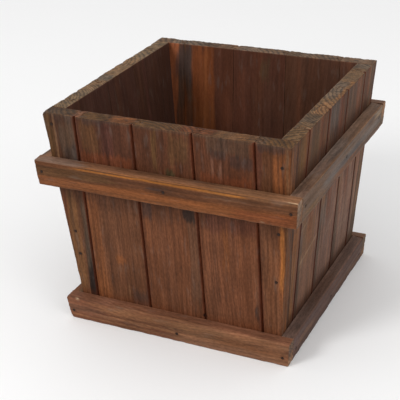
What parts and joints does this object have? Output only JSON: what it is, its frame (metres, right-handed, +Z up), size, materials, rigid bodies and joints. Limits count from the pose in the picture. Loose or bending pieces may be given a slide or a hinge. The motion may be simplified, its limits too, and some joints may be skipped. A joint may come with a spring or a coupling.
{
  "type": "planter box",
  "caption": "Square tapered wooden planter box of upright grooved boards, bound by a base rail and a middle rail, with an open top and a slatted floor.",
  "frame": {"origin": "middle of the foot, on the ground", "axes": "+Z up out of the open top; -Y is the front wall and +X the right wall"},
  "size_m": [0.3214, 0.321, 0.272],
  "materials": {
    "wall_board": "dark reddish-brown stained softwood, worn",
    "rail": "dark reddish-brown stained softwood, worn edges",
    "floor_wood": "dark stained softwood, dull",
    "nail": "dull dark steel"
  },
  "bodies": {
    "root": {"front_board_1": "wall_board", "front_board_2": "wall_board", "front_board_3": "wall_board", "front_board_4": "wall_board", "front_board_5": "wall_board", "right_board_1": "wall_board", "right_board_2": "wall_board", "right_board_3": "wall_board", "right_board_4": "wall_board", "right_board_5": "wall_board", "back_board_1": "wall_board", "back_board_2": "wall_board", "back_board_3": "wall_board", "back_board_4": "wall_board", "back_board_5": "wall_board", "left_board_1": "wall_board", "left_board_2": "wall_board", "left_board_3": "wall_board", "left_board_4": "wall_board", "left_board_5": "wall_board", "front_middle_rail": "rail", "front_base_rail": "rail", "right_middle_rail": "rail", "right_base_rail": "rail", "back_middle_rail": "rail", "back_base_rail": "rail", "left_middle_rail": "rail", "left_base_rail": "rail", "right_floor_cleat": "floor_wood", "left_floor_cleat": "floor_wood", "floor_slat_1": "floor_wood", "floor_slat_2": "floor_wood", "floor_slat_3": "floor_wood", "floor_slat_4": "floor_wood", "corner_nails": "nail", "mid_rail_nails": "nail", "base_rail_nails": "nail", "cleat_nails": "nail", "floor_nails": "nail"}
  },
  "joints": []
}
